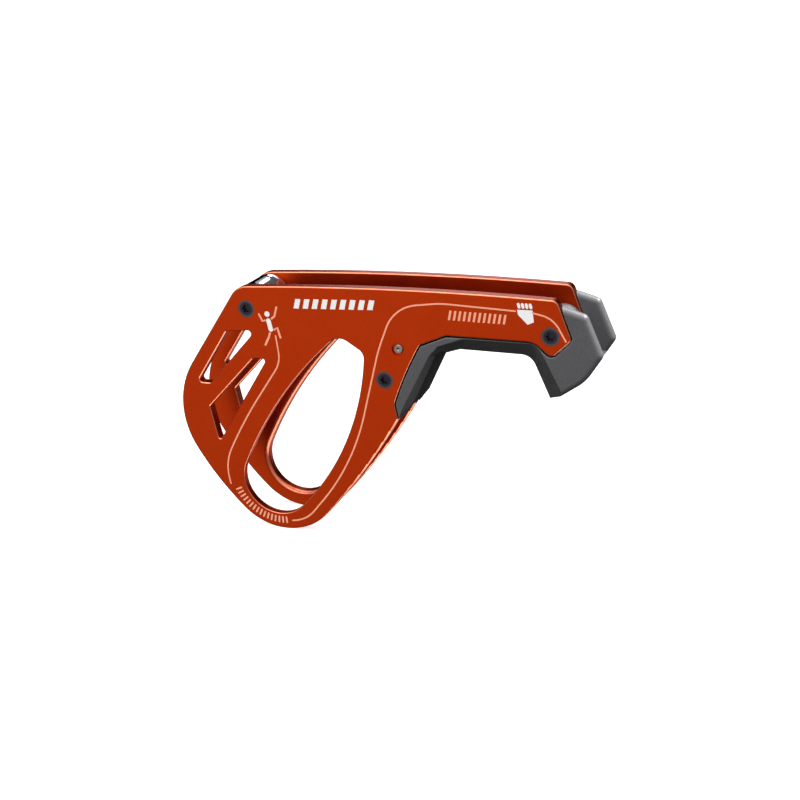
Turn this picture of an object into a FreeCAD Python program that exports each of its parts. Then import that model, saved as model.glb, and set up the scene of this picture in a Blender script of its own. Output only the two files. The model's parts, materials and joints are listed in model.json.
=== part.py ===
import FreeCAD, Part
import math
import os

# Passive belay brake: two anodised side plates on a polished rope bar, with a steel brake insert
# and a moulded thumb handle screwed between them.
# Frame, in mm: X runs along the top edge of the plates from the rope bar to the hook of the handle,
# Z is up, Y runs across the plates. The origin is the middle of the rope bar, on its axis, and the
# front plate is on the -Y side. Outlines are drawn in X and Z, anticlockwise, and extruded along Y.

# Plates
PLATE_T = 3.0
GAP = 12.4                       # clear width between the plates, for a rope of up to 10.5 mm
IN_Y = GAP / 2                   # inner faces of the plates
OUT_Y = IN_Y + PLATE_T           # outer faces of the plates
PLATE_EDGE_R = 0.4               # rounding of the plates' outer edges
WINDOW_FACE_R = 0.25             # rounding of the carabiner window at the outer faces
WINDOW_ROPE_R = 1.3              # wide rounding of the window on the rope side
HOLE_EDGE = 0.2                  # chamfer round the lightening holes

# Plate outline: circles (centre, radius) the edge rolls round, and the bends that join them
BAR_CORNER = ((0.8, 0.2), 6.0)
LEFT_CORNER = ((0.5, -29.8), 23.0)
RING_BOTTOM = ((6.4, -45.9), 17.7)
TOP_BEND = 900.0
LEFT_BEND = 80.0
RIGHT_BEND = 200.0
TIP = (41.8, -27.9)              # lower end of the handle recess
NOSE_TOP = (84.7, 6.65)          # upper corner at the hook end
# Corners of the recess and the nose, (x, z, radius)
RECESS_FOOT = (41.0, -23.6, 2.5)
RECESS_HEAD = (48.6, -7.15, 1.2)
ARM_START = (55.8, -4.1, 1.0)
ARM_END = (78.6, -4.4, 4.0)
NOSE_BOTTOM = (83.2, -8.2, 1.6)
NOSE_RIGHT = (88.35, -3.3, 1.6)
NOSE_TOP_R = 2.0
RECESS_SIDE_BOW = (44.4, -15.2)  # point on the slightly bowed side of the recess

# Carabiner window: circles and bends
WINDOW_TOP = ((26.4, -10.7), 4.0)
WINDOW_BOTTOM = ((5.0, -49.0), 10.1)
WINDOW_RIGHT = ((30.0, -11.8), 3.0)
WINDOW_LEFT_BEND = 115.0
WINDOW_RIGHT_BEND = 73.0

# Lightening holes, corners (x, z, radius)
UPPER_HOLE = [(-6.7, -6.7, 0.4), (-17.1, -21.9, 0.9), (-13.0, -21.9, 1.0), (2.3, -5.8, 1.0)]
LOWER_HOLE = [(0.6, -13.9, 0.5), (-13.9, -28.7, 0.5), (-11.9, -39.2, 0.6), (4.9, -13.7, 0.8)]

# Fasteners
BAR_AXIS = (0.0, 0.0)
INSERT_SCREW = (38.6, -17.2)
HANDLE_SCREW = (83.0, -2.6)
PIN_AXIS = (42.8, -8.5)
SCREW_HEAD_R = 2.35
SCREW_R = 1.25
SCREW_LENGTH = 8.0
SCREW_RIM = 0.12                 # straight rim above the countersink cone
SCREW_SUNK = 0.05
HOLE_CLEARANCE = 0.05
TAP_DEPTH = 6.0
SOCKET_DEPTH = 0.9
SOCKET_R = 0.82                  # pitch circle of the six socket lobes
SOCKET_LOBE_R = 0.33
PIN_R = 1.25
PIN_SUNK = 0.1
PIN_BORE_R = 1.75                # shallow counterbore round each pin end
PIN_BORE_DEPTH = 0.5
PIN_DIMPLE_R = 0.5

# Rope bar, brake insert, handle sleeve
BAR_R = 5.6
BAR_CHAMFER = 0.15
INSERT_CORNERS = [(42.4, -12.9, 0.6), (34.5, -12.9, 1.2), (32.6, -24.6, 2.0), (36.9, -28.2, 1.5),
                  (39.0, -25.8, 1.0)]
INSERT_EDGE_R = 0.8
SLEEVE_R = 2.5
BOSS_R = 4.4

# Handle: how the flush face, the ridge and the crest run from the grip's foot past the hook's tip.
# The flush faces lie at OUT_Y, the ridges at RIDGE_Y and the crest of the underside at CREST_Y,
# on both sides of the mid-plane. Corners are (x, z, radius).
RIDGE_Y = 7.0
CREST_Y = 1.5
FLUSH_LINE = [(41.7, -28.3, 0), (43.2, -24.6, 0), (51.1, -9.7, 0), (53.6, -7.0, 0),
              (60.5, -4.5, 0), (79.6, -4.5, 2.0), (88.6, -22.7, 0)]
RIDGE_LINE = [(41.6, -28.9, 0), (45.2, -24.4, 0), (52.2, -10.2, 0), (54.3, -8.5, 0),
              (60.0, -6.1, 0), (78.4, -6.2, 2.8), (86.8, -23.4, 0)]
CREST_LINE = [(40.8, -27.5, 0), (41.6, -23.8, 0), (49.3, -9.4, 0), (53.3, -11.1, 0),
              (57.0, -9.95, 0), (76.0, -10.3, 4.0), (82.5, -25.4, 0)]
BEYOND = [(110.0, -30.0, 0), (110.0, 20.0, 0), (30.0, 20.0, 0), (36.0, -22.0, 0)]
# Outline of the handle before its underside is shaped: hook, channel floor, tongue
HANDLE_BLANK = [(70.0, -28.8, 0), (91.6, -14.05, 12.0), (96.1, -7.2, 1.8), (91.9, 3.1, 1.8),
                (83.5, 5.6, 0), (80.0, 2.0, 0), (76.5, -2.6, 1.0), (50.0, -2.6, 2.0),
                (40.2, -5.4, 2.0), (39.9, -11.6, 2.0), (42.9, -12.6, 0), (39.4, -25.6, 0),
                (39.4, -31.0, 0)]
CHANNEL = [(76.3, -2.7, 0), (84.5, -8.6, 2.0), (99.0, -11.8, 0), (99.0, 9.0, 0), (76.3, 9.0, 0)]
PLATE_FIT = 0.4                  # gap between the handle and the edges of the plates
FACE_FIT = 0.1                   # gap between the handle and the inner faces of the plates
CREST_R = 1.2                    # rounding of both edges of the crest
HOOK_RIM_R = 1.4                 # rounding of the hook's two cheeks, on both sides of each rim
HOOK_START_X = 84.3              # the hook is the part of the handle beyond this


# ---- drawing in X and Z ----

def on_circle(centre, radius, angle):
    return (centre[0] + radius * math.cos(angle), centre[1] + radius * math.sin(angle))


def heading(start, end):
    return math.atan2(end[1] - start[1], end[0] - start[0])


def wrapping_centre(circle_a, circle_b, bend):
    """Centre of the arc of radius bend that touches both circles from outside, left of the way a to b."""
    (ax, az), ra = circle_a
    (bx, bz), rb = circle_b
    gap = math.hypot(bx - ax, bz - az)
    reach_a = bend - ra
    reach_b = bend - rb
    along = (reach_a ** 2 - reach_b ** 2 + gap ** 2) / (2 * gap)
    aside = math.sqrt(reach_a ** 2 - along ** 2)
    return (ax + (along * (bx - ax) - aside * (bz - az)) / gap,
            az + (along * (bz - az) + aside * (bx - ax)) / gap)


def link(circle_a, circle_b, bend):
    """Outline (start, middle, end) from one circle to the next; a straight has no middle."""
    if bend is None:
        spread = math.acos((circle_a[1] - circle_b[1]) / math.dist(circle_a[0], circle_b[0]))
        angle = heading(circle_a[0], circle_b[0]) - spread
        return (on_circle(*circle_a, angle), None, on_circle(*circle_b, angle))
    centre = wrapping_centre(circle_a, circle_b, bend)
    first = heading(centre, circle_a[0])
    sweep = (heading(centre, circle_b[0]) - first) % (2 * math.pi)
    return tuple(on_circle(centre, bend, first + sweep * part) for part in (0, 0.5, 1))


def rolled_outline(circles, bends, closed):
    """Smooth outline that rolls round the circles anticlockwise, joined by one bend after another."""
    after = circles[1:] + circles[:1]
    links = [link(a, b, bend) for a, b, bend in zip(circles, after, bends)]
    outline = []
    for i, piece in enumerate(links):
        if i or closed:
            centre, radius = circles[i]
            first = heading(centre, links[i - 1][2])
            sweep = (heading(centre, piece[0]) - first) % (2 * math.pi)
            outline.append((links[i - 1][2], on_circle(centre, radius, first + sweep / 2), piece[0]))
        outline.append(piece)
    return outline


def rounded_outline(corners):
    """Closed outline through (x, z, radius) corners, each rounded by an arc where its radius isn't 0."""
    ends = []
    count = len(corners)
    for i, (x, z, radius) in enumerate(corners):
        back = heading((x, z), corners[i - 1])
        ahead = heading((x, z), corners[(i + 1) % count])
        half = ((ahead - back + math.pi) % (2 * math.pi) - math.pi) / 2
        cut = radius / abs(math.tan(half)) if radius else 0
        centre = on_circle((x, z), radius / abs(math.sin(half)) if radius else 0, back + half)
        middle = on_circle(centre, radius, back + half + math.pi)
        ends.append((on_circle((x, z), cut, back), middle, on_circle((x, z), cut, ahead), radius))
    outline = []
    for i, (start, middle, end, radius) in enumerate(ends):
        if radius:
            outline.append((start, middle, end))
        outline.append((end, None, ends[(i + 1) % count][0]))
    return outline


def wire_at(outline, y):
    edges = []
    for start, middle, end in outline:
        a = FreeCAD.Vector(start[0], y, start[1])
        b = FreeCAD.Vector(end[0], y, end[1])
        if middle is None:
            edges.append(Part.LineSegment(a, b).toShape())
        else:
            edges.append(Part.Arc(a, FreeCAD.Vector(middle[0], y, middle[1]), b).toShape())
    return Part.Wire(edges)


def prism(outline, y_from, y_to):
    return Part.Face(wire_at(outline, y_from)).extrude(FreeCAD.Vector(0, y_to - y_from, 0))


def rod(axis, radius, y_from, y_to):
    start = FreeCAD.Vector(axis[0], y_from, axis[1])
    return Part.makeCylinder(radius, y_to - y_from, start, FreeCAD.Vector(0, 1, 0))


def cone(axis, radius_from, radius_to, y_from, y_to):
    start = FreeCAD.Vector(axis[0], y_from, axis[1])
    return Part.makeCone(radius_from, radius_to, y_to - y_from, start, FreeCAD.Vector(0, 1, 0))


def to_rear(shape):
    """The same piece on the other side of the mid-plane."""
    return shape.mirror(FreeCAD.Vector(0, 0, 0), FreeCAD.Vector(0, 1, 0))


def rounded_uprights(solid, corners):
    """Round the edges along Y that stand at the (x, z, radius) corners."""
    for x, z, radius in corners:
        picked = [e for e in solid.Edges
                  if all(math.hypot(v.X - x, v.Z - z) < 0.01 for v in e.Vertexes)]
        solid = solid.makeFillet(radius, picked)
    return solid


def flat_faces_at(solid, y):
    return [f for f in solid.Faces
            if f.BoundBox.YLength < 0.001 and abs(f.BoundBox.YMin - y) < 0.001]


# ---- plates ----

def plate_blank():
    circles = [(NOSE_TOP, 0), BAR_CORNER, LEFT_CORNER, RING_BOTTOM, (TIP, 0)]
    outline = rolled_outline(circles, [TOP_BEND, None, LEFT_BEND, RIGHT_BEND], closed=False)
    foot, head = RECESS_FOOT[:2], RECESS_HEAD[:2]
    outline.append((TIP, None, foot))
    outline.append((foot, RECESS_SIDE_BOW, head))
    stops = [head, ARM_START[:2], ARM_END[:2], NOSE_BOTTOM[:2], NOSE_RIGHT[:2], NOSE_TOP]
    outline += [(a, None, b) for a, b in zip(stops, stops[1:])]
    corners = [RECESS_FOOT, RECESS_HEAD, ARM_START, ARM_END, NOSE_BOTTOM, NOSE_RIGHT,
               NOSE_TOP + (NOSE_TOP_R,)]
    return rounded_uprights(prism(outline, -OUT_Y, -IN_Y), corners)


def window_outline():
    circles = [WINDOW_TOP, WINDOW_BOTTOM, WINDOW_RIGHT]
    return rolled_outline(circles, [WINDOW_LEFT_BEND, WINDOW_RIGHT_BEND, None], closed=True)


def lightening_hole(corners):
    """Cutter for one hole, with a small chamfer at both faces of the plate."""
    outline = rounded_outline(corners)
    cutter = prism(outline, -OUT_Y, -IN_Y)
    for y, outward in ((-OUT_Y, -1), (-IN_Y, 1)):
        mouth = Part.Face(wire_at(outline, y)).makeOffset2D(HOLE_EDGE)
        throat = wire_at(outline, y - outward * HOLE_EDGE)
        cutter = cutter.fuse(Part.makeLoft([throat, mouth.OuterWire], True, True))
    return cutter


def countersink(axis):
    radius = SCREW_HEAD_R + HOLE_CLEARANCE
    bore = SCREW_R + HOLE_CLEARANCE
    start = -OUT_Y + SCREW_SUNK + SCREW_RIM
    sink = cone(axis, radius, bore, start, start + radius - bore)
    return rod(axis, radius, -OUT_Y - 1, start).fuse([sink, rod(axis, bore, -OUT_Y, -IN_Y + 1)])


def window_rims(plate, y):
    return [e for face in flat_faces_at(plate, y) for wire in face.Wires[1:] for e in wire.Edges]


def front_plate():
    plate = plate_blank().cut(prism(window_outline(), -OUT_Y - 1, -IN_Y + 1))
    rims = [e for y in (-OUT_Y, -IN_Y) for face in flat_faces_at(plate, y) for e in face.OuterWire.Edges]
    plate = plate.makeFillet(WINDOW_FACE_R, window_rims(plate, -OUT_Y))
    plate = plate.makeFillet(WINDOW_ROPE_R, window_rims(plate, -IN_Y))
    plate = plate.makeFillet(PLATE_EDGE_R, rims)
    cutters = [lightening_hole(UPPER_HOLE), lightening_hole(LOWER_HOLE)]
    cutters += [countersink(axis) for axis in (BAR_AXIS, INSERT_SCREW, HANDLE_SCREW)]
    cutters.append(rod(PIN_AXIS, PIN_R + HOLE_CLEARANCE, -OUT_Y - 1, -IN_Y + 1))
    cutters.append(rod(PIN_AXIS, PIN_BORE_R, -OUT_Y - 1, -OUT_Y + PIN_BORE_DEPTH))
    return plate.cut(cutters)


# ---- metal pieces between the plates ----

def rope_bar():
    bar = rod(BAR_AXIS, BAR_R, -IN_Y, IN_Y)
    bar = bar.makeChamfer(BAR_CHAMFER, [e for e in bar.Edges if e.BoundBox.YLength < 0.001])
    bore = SCREW_R + HOLE_CLEARANCE
    front = rod(BAR_AXIS, bore, -IN_Y - 1, -IN_Y + TAP_DEPTH)
    return bar.cut([front, to_rear(front)])


def tapped_through(solid, axis):
    return solid.cut(rod(axis, SCREW_R + HOLE_CLEARANCE, -IN_Y - 1, IN_Y + 1))


def brake_insert():
    block = prism(rounded_outline(INSERT_CORNERS), -IN_Y, IN_Y)
    rims = [e for y in (-IN_Y, IN_Y) for f in flat_faces_at(block, y) for e in f.Edges]
    return tapped_through(block.makeFillet(INSERT_EDGE_R, rims), INSERT_SCREW)


def handle_sleeve():
    return tapped_through(rod(HANDLE_SCREW, SLEEVE_R, -IN_Y, IN_Y), HANDLE_SCREW)


def locating_pin():
    end = OUT_Y - PIN_SUNK
    pin = rod(PIN_AXIS, PIN_R, -end, end)
    pin = pin.makeChamfer(0.2, [e for e in pin.Edges if e.BoundBox.YLength < 0.001])
    dimple = cone(PIN_AXIS, PIN_DIMPLE_R, 0, -end, -end + PIN_DIMPLE_R)
    return pin.cut([dimple, to_rear(dimple)])


def front_screw(axis):
    """Countersunk screw with a six-lobed socket, its head flush in the front plate."""
    top = -OUT_Y + SCREW_SUNK
    rim = rod(axis, SCREW_HEAD_R, top, top + SCREW_RIM)
    head = cone(axis, SCREW_HEAD_R, SCREW_R, top + SCREW_RIM, top + SCREW_RIM + SCREW_HEAD_R - SCREW_R)
    shank = rod(axis, SCREW_R, top + SCREW_RIM, top + SCREW_LENGTH)
    shank = shank.makeChamfer(0.3, [e for e in shank.Edges if e.BoundBox.YMin > top + SCREW_LENGTH - 0.001])
    socket = [rod(axis, SOCKET_R, top - 1, top + SOCKET_DEPTH)]
    for i in range(6):
        lobe = on_circle(axis, SOCKET_R, i * math.pi / 3)
        socket.append(rod(lobe, SOCKET_LOBE_R, top - 1, top + SOCKET_DEPTH))
    return rim.fuse([head, shank]).removeSplitter().cut(socket)


# ---- handle ----

def plate_recess():
    """Room for the front plate: its outline grown by the fit, and open to the outside."""
    profile = flat_faces_at(plate_blank(), -IN_Y)[0].makeOffset2D(PLATE_FIT)
    profile.translate(FreeCAD.Vector(0, FACE_FIT, 0))
    return profile.extrude(FreeCAD.Vector(0, -PLATE_T - FACE_FIT - 2, 0))


def handle_blank():
    """The moulding with its open channel and the rounded cheeks of the hook, underside still square."""
    outline = rounded_outline(HANDLE_BLANK)
    blank = prism(outline, -OUT_Y, OUT_Y)
    boss = rod(HANDLE_SCREW, BOSS_R, -IN_Y, IN_Y)
    blank = blank.cut(prism(rounded_outline(CHANNEL), -IN_Y, IN_Y).cut(boss))
    rims = []
    for y in (-OUT_Y, -IN_Y, IN_Y, OUT_Y):
        skin = wire_at(outline, y)
        for edge in blank.Edges:
            middle = edge.valueAt((edge.FirstParameter + edge.LastParameter) / 2)
            flat = edge.BoundBox.YLength < 0.001
            if flat and middle.x > HOOK_START_X and skin.distToShape(Part.Vertex(middle))[0] < 0.001:
                rims.append(edge)
    return blank.makeFillet(HOOK_RIM_R, rims)


def underside_envelope():
    """Everything above the shaped underside: a rope groove down the grip, a rounded ridge under the arm."""
    flush = wire_at(rounded_outline(FLUSH_LINE + BEYOND), -OUT_Y)
    ridge = wire_at(rounded_outline(RIDGE_LINE + BEYOND), -RIDGE_Y)
    crest = wire_at(rounded_outline(CREST_LINE + BEYOND), -CREST_Y)
    side = Part.makeLoft([flush, ridge, crest], True, True)
    middle = prism(rounded_outline(CREST_LINE + BEYOND), -CREST_Y, CREST_Y)
    return middle.fuse([side, to_rear(side)])


def rounded_crest(body):
    """Round the crest of the underside on both sides, from the start of the arm to below the hook."""
    start_x = CREST_LINE[3][0] - 0.01
    crest = [e for e in body.Edges
             if e.BoundBox.YLength < 0.001 and abs(abs(e.BoundBox.YMin) - CREST_Y) < 0.001
             and e.BoundBox.XMin > start_x]
    return body.makeFillet(CREST_R, crest)


def handle_body():
    """Moulding that rests between the plates and fills their recess, flush with their outer faces."""
    recess = plate_recess()
    bores = [rod(HANDLE_SCREW, SLEEVE_R, -OUT_Y, OUT_Y),
             rod(PIN_AXIS, PIN_R + HOLE_CLEARANCE, -OUT_Y, OUT_Y)]
    body = rounded_crest(handle_blank().common(underside_envelope()))
    return body.cut([recess, to_rear(recess)] + bores)


def main():
    os.makedirs("parts", exist_ok=True)
    plate = front_plate()
    parts = {
        "front_side_plate": plate,
        "rear_side_plate": to_rear(plate),
        "rope_bar": rope_bar(),
        "brake_insert": brake_insert(),
        "handle_sleeve": handle_sleeve(),
        "locating_pin": locating_pin(),
        "handle_body": handle_body(),
    }
    for name, axis in (("rope_bar", BAR_AXIS), ("brake_insert", INSERT_SCREW), ("handle", HANDLE_SCREW)):
        screw = front_screw(axis)
        parts[name + "_screw_front"] = screw
        parts[name + "_screw_rear"] = to_rear(screw)
    for name, shape in parts.items():
        if not shape.isValid():
            raise ValueError(name + " isn't a valid shape")
        shape.exportStep("parts/" + name + ".step")


main()
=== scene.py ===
import json
import math

import bmesh
import bpy
from mathutils import Matrix, Vector


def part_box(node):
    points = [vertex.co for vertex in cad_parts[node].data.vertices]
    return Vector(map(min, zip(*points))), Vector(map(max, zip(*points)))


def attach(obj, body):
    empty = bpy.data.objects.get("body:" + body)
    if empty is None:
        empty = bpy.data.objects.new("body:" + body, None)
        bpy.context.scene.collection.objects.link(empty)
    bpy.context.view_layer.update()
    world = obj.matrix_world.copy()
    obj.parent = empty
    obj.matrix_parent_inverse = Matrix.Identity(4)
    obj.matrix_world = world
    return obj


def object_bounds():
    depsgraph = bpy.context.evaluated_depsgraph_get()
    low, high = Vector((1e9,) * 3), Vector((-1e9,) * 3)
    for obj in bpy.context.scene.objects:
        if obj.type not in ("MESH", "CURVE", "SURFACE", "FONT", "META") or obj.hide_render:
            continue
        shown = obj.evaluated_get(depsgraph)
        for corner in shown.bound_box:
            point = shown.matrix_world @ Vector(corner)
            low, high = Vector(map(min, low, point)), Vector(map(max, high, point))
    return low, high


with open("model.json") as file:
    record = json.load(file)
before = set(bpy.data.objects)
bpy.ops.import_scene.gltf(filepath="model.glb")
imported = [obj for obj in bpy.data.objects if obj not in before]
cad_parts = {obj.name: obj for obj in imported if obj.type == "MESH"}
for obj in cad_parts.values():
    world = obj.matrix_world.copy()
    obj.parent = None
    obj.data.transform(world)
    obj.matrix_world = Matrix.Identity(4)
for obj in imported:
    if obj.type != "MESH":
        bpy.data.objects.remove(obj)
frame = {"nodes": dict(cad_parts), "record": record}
CAD_LOW, CAD_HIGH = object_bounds()

# Belay brake. Everything is in metres in the CAD frame: X along the plates' top edge from the rope bar
# to the hook, Z up, and the front plate on the -Y side.
MM = 0.001

# Camera, aimed at a point on the mid-plane
CAMERA_AIM = Vector((39.1, 0, -25.9)) * MM
CAMERA_DISTANCE = 354.4 * MM
CAMERA_AZIMUTH = math.radians(21.2)
CAMERA_ELEVATION = math.radians(19.8)
CAMERA_ROLL = math.radians(-2.8)
CAMERA_LENS = 59.3
SENSOR = 36.0

# Studio tent: (sine of the elevation, brightness) up its front wall and up its back wall
FRONT_WALL = [(-1.0, 0.01), (-0.62, 0.03), (-0.35, 0.76), (-0.05, 0.72), (0.2, 1.9), (0.7, 2.7),
              (0.85, 3.2)]
BACK_WALL = [(-1.0, 0.01), (-0.5, 0.1), (-0.25, 0.1), (-0.05, 0.04), (0.75, 0.06), (0.85, 3.2)]
# Where the tent changes, along an axis of the unit direction, and the share of light left past that
FRONT_TO_BACK = (-0.3, 0.4)      # along Y, from the front wall to the back wall
RIGHT_FADE = (-0.5, 0.5)         # along X, in both walls
RIGHT_SHARE = 0.3
LEFT_FADE = (0.4, 0.9)           # along -X, in the front wall
LEFT_SHARE = 0.3
BACK_LEFT_FADE = (0.3, 0.45)     # along -X, in the back wall
BACK_LEFT_SHARE = 0.05
# Soft boxes: azimuth, elevation and width in degrees, brightness, and the nodes that they light
PLATES = ("front_side_plate", "rear_side_plate")
HANDLE = ("handle_body",)
BAR = ("rope_bar",)
SOFT_BOXES = [(130.0, 50.0, 25.0, 60.0, HANDLE),             # on the hook's upper edges
              (85.0, 45.0, 35.0, 11.0, HANDLE),              # on its outer rims
              (195.0, 7.0, 20.0, 2.4, PLATES),               # along the top edges
              (168.0, -26.0, 44.0, 0.7, PLATES),             # on the walls of the holes
              (78.0, -56.0, 55.0, 2.4, PLATES),              # on the rim of the carabiner window
              (334.0, -28.0, 36.0, 0.3, PLATES),             # on the lower half of the front
              (195.0, 26.0, 13.0, 2.6, BAR),                 # the bar's bright stripe
              (200.0, 20.0, 18.0, 0.45, BAR),                # its grey border
              (165.0, 30.0, 44.0, 0.1, BAR),                 # its grey right side
              (205.0, 45.0, 18.0, 2.4, BAR)]                 # its ends

FLOOR_HALF = 6.0                 # half the floor's side, in metres
FLOOR_GLOW = 0.75

# Details of the materials
RING_PITCH = 0.12 * MM           # turning marks on the screw heads
SCREW_RIM_SPAN = (0.62, 0.98)        # where a head's lighter grey rim starts and is full, in shares of its radius
BAR_HALF_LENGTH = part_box("rope_bar")[1].y
BAR_DISH = 0.7 * MM              # how far the bar's shading rises at its ends; its shape is straight
BEVEL_SAMPLES = 8
# One minus the cosine between two normals, where an effect starts and where it is full
EDGE_BEND = (0.02, 0.25)         # rounded and plain normal, at an edge lightened as a painted highlight
STRAY_BEND = (0.004, 0.03)       # smooth normal and the facet's own, where the smooth one is dropped

# Print on the front plate, in mm
FRONT_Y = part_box("front_side_plate")[0].y / MM
INK_PROUD = 0.01                 # how far the ink stands off the plate
INK_BURIED = 0.05                # how deep its solid reaches into the plate
# Faint self-glow of the ink: painted light, not a lamp
INK_GLOW = 0.12
LINE_WIDTH = 0.42
# Paths of the line that follows the rope: (x, z, radius) corners
ROPE_LINES = {
    "rope_line_climber_side": [(8.1, -7.0, 0), (8.9, -14.4, 8), (-4.0, -32.6, 140), (-10.7, -45.4, 14),
                               (-9.6, -51.6, 0)],
    "rope_line_hand_side": [(8.8, -60.9, 0), (13.0, -60.4, 10), (28.3, -42.0, 70), (37.2, -9.4, 40),
                            (42.1, 2.8, 10.5), (54.7, 4.4, 26), (74.2, 3.5, 0)],
    "rope_line_end": [(78.6, 3.25, 0), (83.8, 2.1, 6.4), (86.9, -3.6, 0)],
}
# Ticks along the lower ring, about its centre
RING_CENTRE = Vector((5.6, -46.9))
TICK_COUNT = 16
TICK_START = 205.0               # degrees from X towards Z
TICK_PITCH = 4.7                 # degrees
TICK_REACHES = (13.3, 14.9)
TICK_WIDTH = 0.5
# Climber and hand signs
ARM_WIDTH = 0.55
LEG_WIDTH = 0.6
TORSO_WIDTH = 1.3
HEAD_RADIUS = 0.75
FINGER_COUNT = 4
FINGER_PITCH = 1.0
FINGER_WIDTH = 0.75


# ---- colours ----

def linear(red, green, blue):
    """Linear colour from sRGB values of 0 to 255."""
    def channel(value):
        value /= 255
        return value / 12.92 if value <= 0.04045 else ((value + 0.055) / 1.055) ** 2.4
    return (channel(red), channel(green), channel(blue), 1)


DYE_DARK = linear(180, 46, 8)
DYE_LIGHT = linear(208, 68, 20)
# Painted highlight laid on the plates' rounded rims
PAINTED_RIM_HIGHLIGHT = linear(255, 158, 122)
SCUFF_PALE = linear(250, 200, 175)
MOULDING_DARK = linear(60, 60, 62)
MOULDING_LIGHT = linear(100, 100, 102)
# Painted highlight laid on the handle's edges
MOULDING_EDGE_HIGHLIGHT = linear(150, 150, 152)
BAR_STEEL = linear(208, 210, 214)
INSERT_STEEL = linear(175, 175, 178)
SLEEVE_STEEL = linear(170, 170, 172)
PIN_STEEL = linear(176, 160, 148)
STEEL_HAZE = linear(150, 148, 145)
SCREW_DARK = linear(46, 43, 52)
SCREW_LIGHT = linear(66, 61, 70)
SCREW_RIM_GREY = linear(140, 126, 132)
INK_PALE = linear(255, 174, 140)
INK_PALE_WORN = linear(235, 140, 105)
INK_WHITE = linear(250, 250, 250)
INK_WHITE_WORN = linear(240, 215, 205)
PAPER_DARK = linear(240, 240, 240)
PAPER_LIGHT = linear(246, 246, 246)
WHITE = (1, 1, 1, 1)


# ---- material building ----

class Graph:
    """Short ways to add nodes to a tree."""

    def __init__(self, tree):
        self.tree = tree

    def add(self, kind, values=None, **settings):
        """A node of that kind. Values that are sockets are linked, and others are set."""
        node = self.tree.nodes.new("ShaderNode" + kind)
        for name, value in settings.items():
            setattr(node, name, value)
        for key, value in (values or {}).items():
            self.feed(node.inputs[key], value)
        return node

    def feed(self, socket, value):
        if isinstance(value, bpy.types.NodeSocket):
            self.tree.links.new(value, socket)
        else:
            socket.default_value = value

    def math(self, operation, a, b=0.0):
        return self.add("Math", {0: a, 1: b}, operation=operation).outputs[0]

    def plus(self, a, b):
        return self.math("ADD", a, b)

    def minus(self, a, b):
        return self.math("SUBTRACT", a, b)

    def times(self, a, b):
        return self.math("MULTIPLY", a, b)

    def ramp(self, fac, low, high):
        """0 below low and 1 above high, with a smooth step between."""
        values = {"Value": fac, "From Min": low, "From Max": high}
        return self.add("MapRange", values, interpolation_type="SMOOTHSTEP").outputs["Result"]

    def between(self, fac, low, high):
        """A value from low to high as fac goes from 0 to 1."""
        values = {"Value": fac, "To Min": low, "To Max": high}
        return self.add("MapRange", values).outputs["Result"]

    def blend(self, fac, colour_a, colour_b):
        node = self.add("Mix", data_type="RGBA")
        self.feed(node.inputs["Factor"], fac)
        self.feed(node.inputs[6], colour_a)
        self.feed(node.inputs[7], colour_b)
        return node.outputs[2]

    def greys(self, fac, stops):
        """A brightness that follows (place, brightness) stops as fac goes from 0 to 1."""
        node = self.add("ValToRGB", {"Fac": fac})
        node.color_ramp.interpolation = "EASE"
        marks = node.color_ramp.elements
        while len(marks) < len(stops):
            marks.new(1.0)
        for mark, (place, grey) in zip(marks, stops):
            mark.position = place
            mark.color = (grey, grey, grey, 1)
        return node.outputs["Color"]


class Sky(Graph):
    """The world's nodes."""

    def place(self):
        return self.add("TexCoord").outputs["Generated"]

    def grey(self, value):
        return self.add("CombineColor", {"Red": value, "Green": value, "Blue": value}).outputs["Color"]


class Shader(Graph):
    """A new material with a Principled shader."""

    def __init__(self, name):
        self.material = bpy.data.materials.new(name)
        self.material.use_nodes = True
        super().__init__(self.material.node_tree)
        self.main = self.tree.nodes["Principled BSDF"]

    def place(self):
        return self.add("TexCoord").outputs["Object"]

    def noise(self, scale, detail=3.0, roughness=0.5, vector=None):
        """Noise from 0 to 1, with scale in repeats per metre."""
        values = {"Vector": vector or self.place(), "Scale": scale, "Detail": detail,
                  "Roughness": roughness}
        return self.add("TexNoise", values).outputs["Fac"]

    def bend(self, normal_a, normal_b):
        """One minus the cosine between two normals."""
        values = {0: normal_a, 1: normal_b}
        cosine = self.add("VectorMath", values, operation="DOT_PRODUCT").outputs["Value"]
        return self.minus(1.0, cosine)

    def rounded_normal(self, radius):
        """The normal as if edges were rounded off with that radius in metres."""
        return self.add("Bevel", {"Radius": radius}, samples=BEVEL_SAMPLES).outputs["Normal"]

    def edges(self, radius):
        """About 0 on flat stretches and 1 along edges, within that radius in metres."""
        plain = self.add("NewGeometry").outputs["Normal"]
        return self.ramp(self.bend(self.rounded_normal(radius), plain), *EDGE_BEND)

    def steady_normal(self):
        """The smooth normal, or the facet's own where long thin triangles pull the smooth one aside."""
        geometry = self.add("NewGeometry").outputs
        smooth = geometry["Normal"]
        own = geometry["True Normal"]
        astray = self.ramp(self.bend(smooth, own), *STRAY_BEND)
        mixed = self.add("Mix", {0: astray, 4: smooth, 5: own}, data_type="VECTOR").outputs[1]
        return self.add("VectorMath", {0: mixed}, operation="NORMALIZE").outputs["Vector"]

    def rims(self, normal):
        """1 in the middle of the rounding between a face across Y and a wall along Y, 0 on both."""
        facing = self.add("SeparateXYZ", {0: normal}).outputs["Y"]
        square = self.times(facing, facing)
        return self.times(self.times(square, self.minus(1.0, square)), 4.0)

    def bump(self, height, distance, strength=1.0, normal=None):
        values = {"Height": height, "Distance": distance, "Strength": strength}
        if normal is not None:
            values["Normal"] = normal
        return self.add("Bump", values).outputs["Normal"]

    def surface(self, **values):
        """Set the Principled shader's inputs; an underscore in a name stands for a space."""
        for name, value in values.items():
            self.feed(self.main.inputs[name.replace("_", " ")], value)
        return self.material


# ---- materials ----

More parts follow.
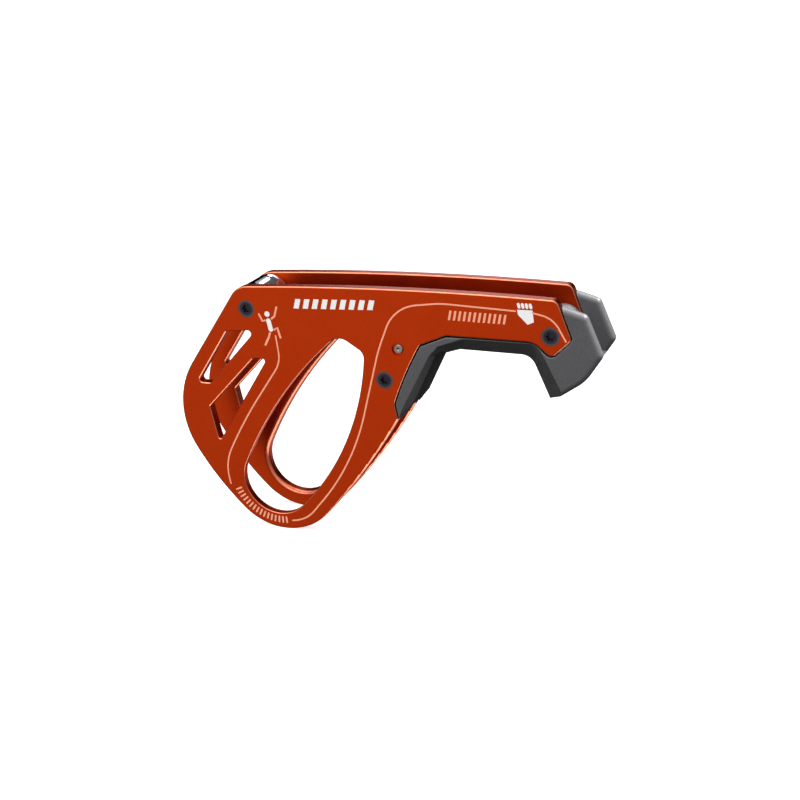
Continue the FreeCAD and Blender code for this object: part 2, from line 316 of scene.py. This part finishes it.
def anodised_plate():
    """Bead-blasted and anodised aluminium, smooth along the rounded rims, which are paled as a painted
    highlight and scuffed by wear.
    """
    s = Shader("anodised_orange")
    mottle = s.noise(140, 4)
    grain = s.noise(9000, 2)
    normal = s.steady_normal()
    rim_highlight_and_wear = s.ramp(s.rims(normal), 0.1, 0.9)
    scuffs = s.times(rim_highlight_and_wear, s.ramp(s.noise(900, 4, 0.65), 0.45, 0.75))
    shade = s.plus(s.times(mottle, 0.4), s.times(s.noise(3400, 2), 0.6))
    base = s.blend(shade, DYE_DARK, DYE_LIGHT)
    # Painted highlight: the rims are paled towards peach
    base = s.blend(s.times(rim_highlight_and_wear, 0.8), base, PAINTED_RIM_HIGHLIGHT)
    base = s.blend(s.times(scuffs, 0.3), base, SCUFF_PALE)
    blasted = s.plus(s.between(mottle, 0.34, 0.42), s.times(s.minus(grain, 0.5), 0.12))
    rough = s.minus(blasted, s.times(rim_highlight_and_wear, 0.1))
    return s.surface(Base_Color=base, Metallic=1.0, Roughness=rough,
                     Normal=s.bump(grain, 0.012 * MM, normal=normal))


def moulded_handle():
    """Glass-filled nylon from a spark-eroded mould, a little shiny where thumbs and ropes polish it, and
    lighter grey along its edges as a painted highlight.
    """
    s = Shader("handle_moulding_grey")
    texture = s.noise(2800, 3, 0.65)
    cloud = s.noise(90, 3)
    edge_polish_and_highlight = s.edges(0.5 * MM)
    shade = s.plus(s.times(cloud, 0.3), s.times(texture, 0.7))
    base = s.blend(shade, MOULDING_DARK, MOULDING_LIGHT)
    # Painted highlight: the edges are lightened to a paler grey
    base = s.blend(s.times(edge_polish_and_highlight, 0.6), base, MOULDING_EDGE_HIGHLIGHT)
    rough = s.minus(s.between(cloud, 0.36, 0.44), s.times(edge_polish_and_highlight, 0.06))
    return s.surface(Base_Color=base, Roughness=rough, Specular_IOR_Level=0.5,
                     Normal=s.bump(texture, 0.09 * MM, 0.8, s.rounded_normal(0.3 * MM)))


def polished_bar():
    """Mirror-polished steel with fine scratches round the bar. Only its shading curves up at the ends."""
    s = Shader("polished_steel_bar")
    stretch = s.add("Mapping", {"Vector": s.place(), "Scale": (300, 9000, 300)}).outputs["Vector"]
    lines = s.noise(1, 3, 0.6, stretch)
    haze = s.noise(260, 3)
    along = s.add("SeparateXYZ", {0: s.place()}).outputs["Y"]
    end = s.math("DIVIDE", s.math("ABSOLUTE", along), BAR_HALF_LENGTH)
    dish = s.bump(s.math("POWER", end, 4.0), BAR_DISH)
    return s.surface(Base_Color=BAR_STEEL, Metallic=1.0,
                     Roughness=s.between(haze, 0.07, 0.12),
                     Normal=s.bump(lines, 0.001 * MM, 0.5, dish))


def satin_steel(name, colour, low, high):
    """Turned or ground steel with fine lines across Y."""
    s = Shader(name)
    stretch = s.add("Mapping", {"Vector": s.place(), "Scale": (800, 12000, 800)}).outputs["Vector"]
    lines = s.noise(1, 3, 0.6, stretch)
    haze = s.noise(500, 3)
    return s.surface(Base_Color=s.blend(haze, colour, STEEL_HAZE), Metallic=1.0,
                     Roughness=s.between(haze, low, high),
                     Normal=s.bump(lines, 0.004 * MM, 0.6))


def black_screw(name, centre, radius):
    """Blackened steel, turned in rings about the screw's axis and unevenly lighter grey towards the rim
    of the head.
    """
    s = Shader(name)
    spot = s.add("SeparateXYZ", {0: s.place()}).outputs
    across = s.minus(spot["X"], centre.x)
    up = s.minus(spot["Z"], centre.z)
    reach = s.math("SQRT", s.plus(s.times(across, across), s.times(up, up)))
    rings = s.math("SINE", s.times(reach, 2 * math.pi / RING_PITCH))
    grain = s.noise(4000, 3)
    border = s.ramp(reach, *[radius * share for share in SCREW_RIM_SPAN])
    rim_grey = s.times(border, s.between(grain, 0.5, 1.1))
    base = s.blend(grain, SCREW_DARK, SCREW_LIGHT)
    # Lighter grey towards the rim of the head, varied by the grain
    base = s.blend(s.times(rim_grey, 0.6), base, SCREW_RIM_GREY)
    height = s.plus(grain, s.times(rings, 0.4))
    return s.surface(Base_Color=base, Metallic=0.85, Roughness=s.between(grain, 0.32, 0.45),
                     Normal=s.bump(height, 0.006 * MM, 0.6))


def ink(name, colour, worn_colour):
    """Pad-printed ink with small worn spots and a faint self-glow, painted light that brightens it."""
    s = Shader(name)
    spots = s.ramp(s.noise(3500, 4, 0.7), 0.58, 0.72)
    base = s.blend(s.times(spots, 0.4), colour, worn_colour)
    return s.surface(Base_Color=base, Roughness=s.between(s.noise(2500), 0.6, 0.75),
                     Specular_IOR_Level=0.2, Emission_Color=base, Emission_Strength=INK_GLOW)


def dress_nodes():
    """Give every CAD node its material."""
    by_slot = {
        "anodised": anodised_plate(),
        "polished_steel": polished_bar(),
        "insert_steel": satin_steel("insert_steel_ground", INSERT_STEEL, 0.25, 0.4),
        "sleeve_steel": satin_steel("sleeve_steel_turned", SLEEVE_STEEL, 0.3, 0.4),
        "pin_steel": satin_steel("pin_steel_turned", PIN_STEEL, 0.25, 0.38),
        "handle_moulding": moulded_handle(),
    }
    for part in frame["record"]["subparts"]:
        name = part["node"]
        kind = part["material_slot"]
        if kind == "screw_steel":
            low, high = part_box(name)
            material = black_screw(name + "_steel", (low + high) / 2, (high.x - low.x) / 2)
        else:
            material = by_slot[kind]
        for slot in frame["nodes"][name].material_slots:
            slot.material = material


# ---- print on the front plate ----

def rounded_path(corners, step=0.25):
    """Points of an open path in X and Z through (x, z, radius) corners; the ends' radii aren't used."""
    points = [Vector(corners[0][:2])]
    for before, (x, z, radius), after in zip(corners, corners[1:], corners[2:]):
        corner = Vector((x, z))
        back = (Vector(before[:2]) - corner).normalized()
        ahead = (Vector(after[:2]) - corner).normalized()
        half = back.angle(ahead) / 2
        centre = corner + (back + ahead).normalized() * (radius / math.sin(half))
        start = corner + back * (radius / math.tan(half)) - centre
        end = corner + ahead * (radius / math.tan(half)) - centre
        sweep = start.angle_signed(end)
        count = max(2, math.ceil(abs(sweep) * radius / step))
        for i in range(count + 1):
            points.append(centre + start @ Matrix.Rotation(-sweep * i / count, 2).transposed())
    points.append(Vector(corners[-1][:2]))
    return points


def ink_solid(name, outlines, material):
    """One thin closed solid per outline of (x, z) points, all in one object on the front plate."""
    y_out = FRONT_Y - INK_PROUD
    y_in = FRONT_Y + INK_BURIED
    mesh = bmesh.new()
    for outline in outlines:
        front = [mesh.verts.new(Vector((x, y_out, z)) * MM) for x, z in outline]
        back = [mesh.verts.new(Vector((x, y_in, z)) * MM) for x, z in outline]
        mesh.faces.new(front)
        mesh.faces.new(back[::-1])
        for i in range(len(outline)):
            j = (i + 1) % len(outline)
            mesh.faces.new((front[j], front[i], back[i], back[j]))
    bmesh.ops.recalc_face_normals(mesh, faces=mesh.faces)
    data = bpy.data.meshes.new(name)
    mesh.to_mesh(data)
    mesh.free()
    piece = bpy.data.objects.new(name, data)
    bpy.context.scene.collection.objects.link(piece)
    data.materials.append(material)
    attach(piece, "root")


def stroke(points, width):
    """Outline of a line of that width along the (x, z) points, with round ends."""
    points = [Vector(point) for point in points]
    half = width / 2
    left, right = [], []
    for i, point in enumerate(points):
        ahead = points[min(i + 1, len(points) - 1)] - points[max(i - 1, 0)]
        side = Vector((-ahead.y, ahead.x)).normalized() * half
        left.append(point + side)
        right.append(point - side)
    return right + round_end(points[-1], right[-1]) + left[::-1] + round_end(points[0], left[0])


def round_end(centre, start, steps=6):
    """Points of the half circle about centre, anticlockwise from start, without its ends."""
    arm = start - centre
    turns = [math.pi * i / steps for i in range(1, steps)]
    return [centre + Vector((arm.x * math.cos(t) - arm.y * math.sin(t),
                             arm.x * math.sin(t) + arm.y * math.cos(t))) for t in turns]


def disc(centre, radius, steps=28):
    """Outline of a filled circle."""
    turns = [2 * math.pi * i / steps for i in range(steps)]
    return [Vector(centre) + Vector((math.cos(t), math.sin(t))) * radius for t in turns]


def slanted_bars(start, along, count, pitch, width, height, slant):
    """Upright bars in a row from start, each leaning over by slant."""
    bars = []
    for i in range(count):
        foot = Vector(start) + Vector(along) * pitch * i
        top = foot + Vector((slant, height))
        bars.append([foot, foot + Vector((width, 0)), top + Vector((width, 0)), top])
    return bars


def ring_ticks():
    """Outlines of the short ticks along the lower ring, each pointing at its centre."""
    ticks = []
    for i in range(TICK_COUNT):
        turn = math.radians(TICK_START + TICK_PITCH * i)
        outward = Vector((math.cos(turn), math.sin(turn)))
        ticks.append(stroke([RING_CENTRE + outward * reach for reach in TICK_REACHES], TICK_WIDTH))
    return ticks


def climber_limbs():
    """Outlines of the climber's two arms and two legs."""
    arms = [[(5.3, -2.9), (4.6, -3.1), (3.7, -1.3)],
            [(7.35, -2.3), (8.2, -1.6), (9.0, 0.9)]]
    legs = [[(6.5, -6.4), (6.0, -7.7), (4.9, -9.7)],
            [(7.9, -5.3), (8.8, -4.7), (9.5, -7.4)]]
    return [stroke(arm, ARM_WIDTH) for arm in arms] + [stroke(leg, LEG_WIDTH) for leg in legs]


def climber_body():
    """Outlines of the climber's torso and head."""
    torso = stroke([(6.35, -2.9), (6.85, -5.3)], TORSO_WIDTH)
    return [torso, disc((6.1, -1.1), HEAD_RADIUS)]


def hand_sign():
    """Outlines of a palm and of the fingers that stand on it."""
    outlines = [[(74.7, 3.9), (74.9, 2.6), (77.3, 0.2), (78.9, 0.9), (78.6, 3.9)]]
    for i in range(FINGER_COUNT):
        root = (75.2 + FINGER_PITCH * i, 4.6)
        tip = (75.0 + FINGER_PITCH * i, 5.3)
        outlines.append(stroke([root, tip], FINGER_WIDTH))
    return outlines


def print_plate():
    pale = ink("ink_pale", INK_PALE, INK_PALE_WORN)
    white = ink("ink_white", INK_WHITE, INK_WHITE_WORN)
    for name, corners in ROPE_LINES.items():
        ink_solid(name, [stroke(rounded_path(corners), LINE_WIDTH)], pale)
    ink_solid("ring_ticks", ring_ticks(), pale)
    top_bars = slanted_bars(start=(14.0, 0.9), along=(1.0, 0.035), count=9, pitch=2.6,
                            width=1.5, height=2.6, slant=0.7)
    ink_solid("top_bars", top_bars, white)
    arm_bars = slanted_bars(start=(56.6, 0.2), along=(1.0, -0.02), count=12, pitch=1.3,
                            width=0.6, height=2.5, slant=0.5)
    ink_solid("arm_bars", arm_bars, pale)
    ink_solid("climber_limbs", climber_limbs(), pale)
    ink_solid("climber_body", climber_body(), white)
    ink_solid("hand_sign", hand_sign(), white)


# ---- studio ----

def aim(thing, eye, target, roll=0.0):
    """Put a camera or light at eye, looking at target, with its up direction rolled."""
    back = (eye - target).normalized()
    right = Vector((0, 0, 1)).cross(back).normalized()
    up = back.cross(right)
    rolled = right * math.cos(roll) + up * math.sin(roll)
    upright = up * math.cos(roll) - right * math.sin(roll)
    turned = Matrix((rolled, upright, back)).transposed()
    thing.matrix_world = Matrix.Translation(eye) @ turned.to_4x4()


def around(azimuth, elevation):
    """Unit vector from the object towards an eye at that azimuth and elevation."""
    flat = math.cos(elevation)
    return Vector((math.sin(azimuth) * flat, -math.cos(azimuth) * flat, math.sin(elevation)))


def make_camera():
    data = bpy.data.cameras.new("camera")
    data.sensor_width = SENSOR
    data.lens = CAMERA_LENS
    data.clip_start = 0.01
    data.clip_end = 100
    camera = bpy.data.objects.new("camera", data)
    bpy.context.scene.collection.objects.link(camera)
    eye = CAMERA_AIM + around(CAMERA_AZIMUTH, CAMERA_ELEVATION) * CAMERA_DISTANCE
    aim(camera, eye, CAMERA_AIM, CAMERA_ROLL)
    bpy.context.scene.camera = camera


def make_floor():
    """A wide pale sheet under the object, clear from below. It shows shadows but casts no light."""
    signs = [(-1, -1), (1, -1), (1, 1), (-1, 1)]
    corners = [(x * FLOOR_HALF, y * FLOOR_HALF, CAD_LOW.z) for x, y in signs]
    mesh = bpy.data.meshes.new("floor")
    mesh.from_pydata(corners, [], [(0, 1, 2, 3)])
    floor = bpy.data.objects.new("floor", mesh)
    bpy.context.scene.collection.objects.link(floor)
    s = Shader("floor_paper")
    fibre = s.noise(60, 3)
    paper = s.blend(fibre, PAPER_DARK, PAPER_LIGHT)
    mesh.materials.append(s.surface(Base_Color=paper, Roughness=0.9, Specular_IOR_Level=0.0,
                                    Emission_Color=paper, Emission_Strength=FLOOR_GLOW))
    from_below = s.add("NewGeometry").outputs["Backfacing"]
    clear = s.add("BsdfTransparent").outputs["BSDF"]
    seen = s.add("MixShader", {0: from_below, 1: s.main.outputs["BSDF"], 2: clear}).outputs["Shader"]
    s.feed(s.tree.nodes["Material Output"].inputs["Surface"], seen)
    floor.visible_diffuse = False
    floor.visible_glossy = False
    floor.visible_shadow = False


def make_world():
    """White to the camera. All else sees a tent that is bright in front and above and dark below."""
    world = bpy.data.worlds.new("studio")
    bpy.context.scene.world = world
    world.use_nodes = True
    g = Sky(world.node_tree)
    direction = g.add("SeparateXYZ", {0: g.place()}).outputs
    height = g.add("MapRange", {"Value": direction["Z"], "From Min": -1.0}).outputs["Result"]
    front, back = [g.greys(height, [((sine + 1) / 2, grey) for sine, grey in wall])
                   for wall in (FRONT_WALL, BACK_WALL)]
    leftward = g.times(direction["X"], -1.0)
    right = g.between(g.ramp(direction["X"], *RIGHT_FADE), 1.0, RIGHT_SHARE)
    front = g.times(front, g.between(g.ramp(leftward, *LEFT_FADE), 1.0, LEFT_SHARE))
    back = g.times(back, g.between(g.ramp(leftward, *BACK_LEFT_FADE), 1.0, BACK_LEFT_SHARE))
    tent = g.between(g.ramp(direction["Y"], *FRONT_TO_BACK), front, back)
    light = g.times(tent, right)
    seen = g.add("LightPath").outputs["Is Camera Ray"]
    g.feed(g.tree.nodes["Background"].inputs["Color"], g.blend(seen, g.grey(light), WHITE))


def soft_box(azimuth, elevation, width, brightness, receivers):
    """A far round light from that side, as wide and bright as given, on those nodes only."""
    name = "soft_box_%g" % azimuth
    data = bpy.data.lights.new(name, "SUN")
    data.angle = math.radians(width)
    data.energy = brightness * math.pi * math.sin(data.angle / 2) ** 2
    light = bpy.data.objects.new(name, data)
    bpy.context.scene.collection.objects.link(light)
    aim(light, CAMERA_AIM + around(math.radians(azimuth), math.radians(elevation)), CAMERA_AIM)
    group = bpy.data.collections.new(name + "_receivers")
    for node in receivers:
        group.objects.link(frame["nodes"][node])
    light.light_linking.receiver_collection = group


def make_studio():
    make_camera()
    make_floor()
    make_world()
    for box in SOFT_BOXES:
        soft_box(*box)
    bpy.context.scene.view_settings.view_transform = "Standard"


dress_nodes()
print_plate()
make_studio()
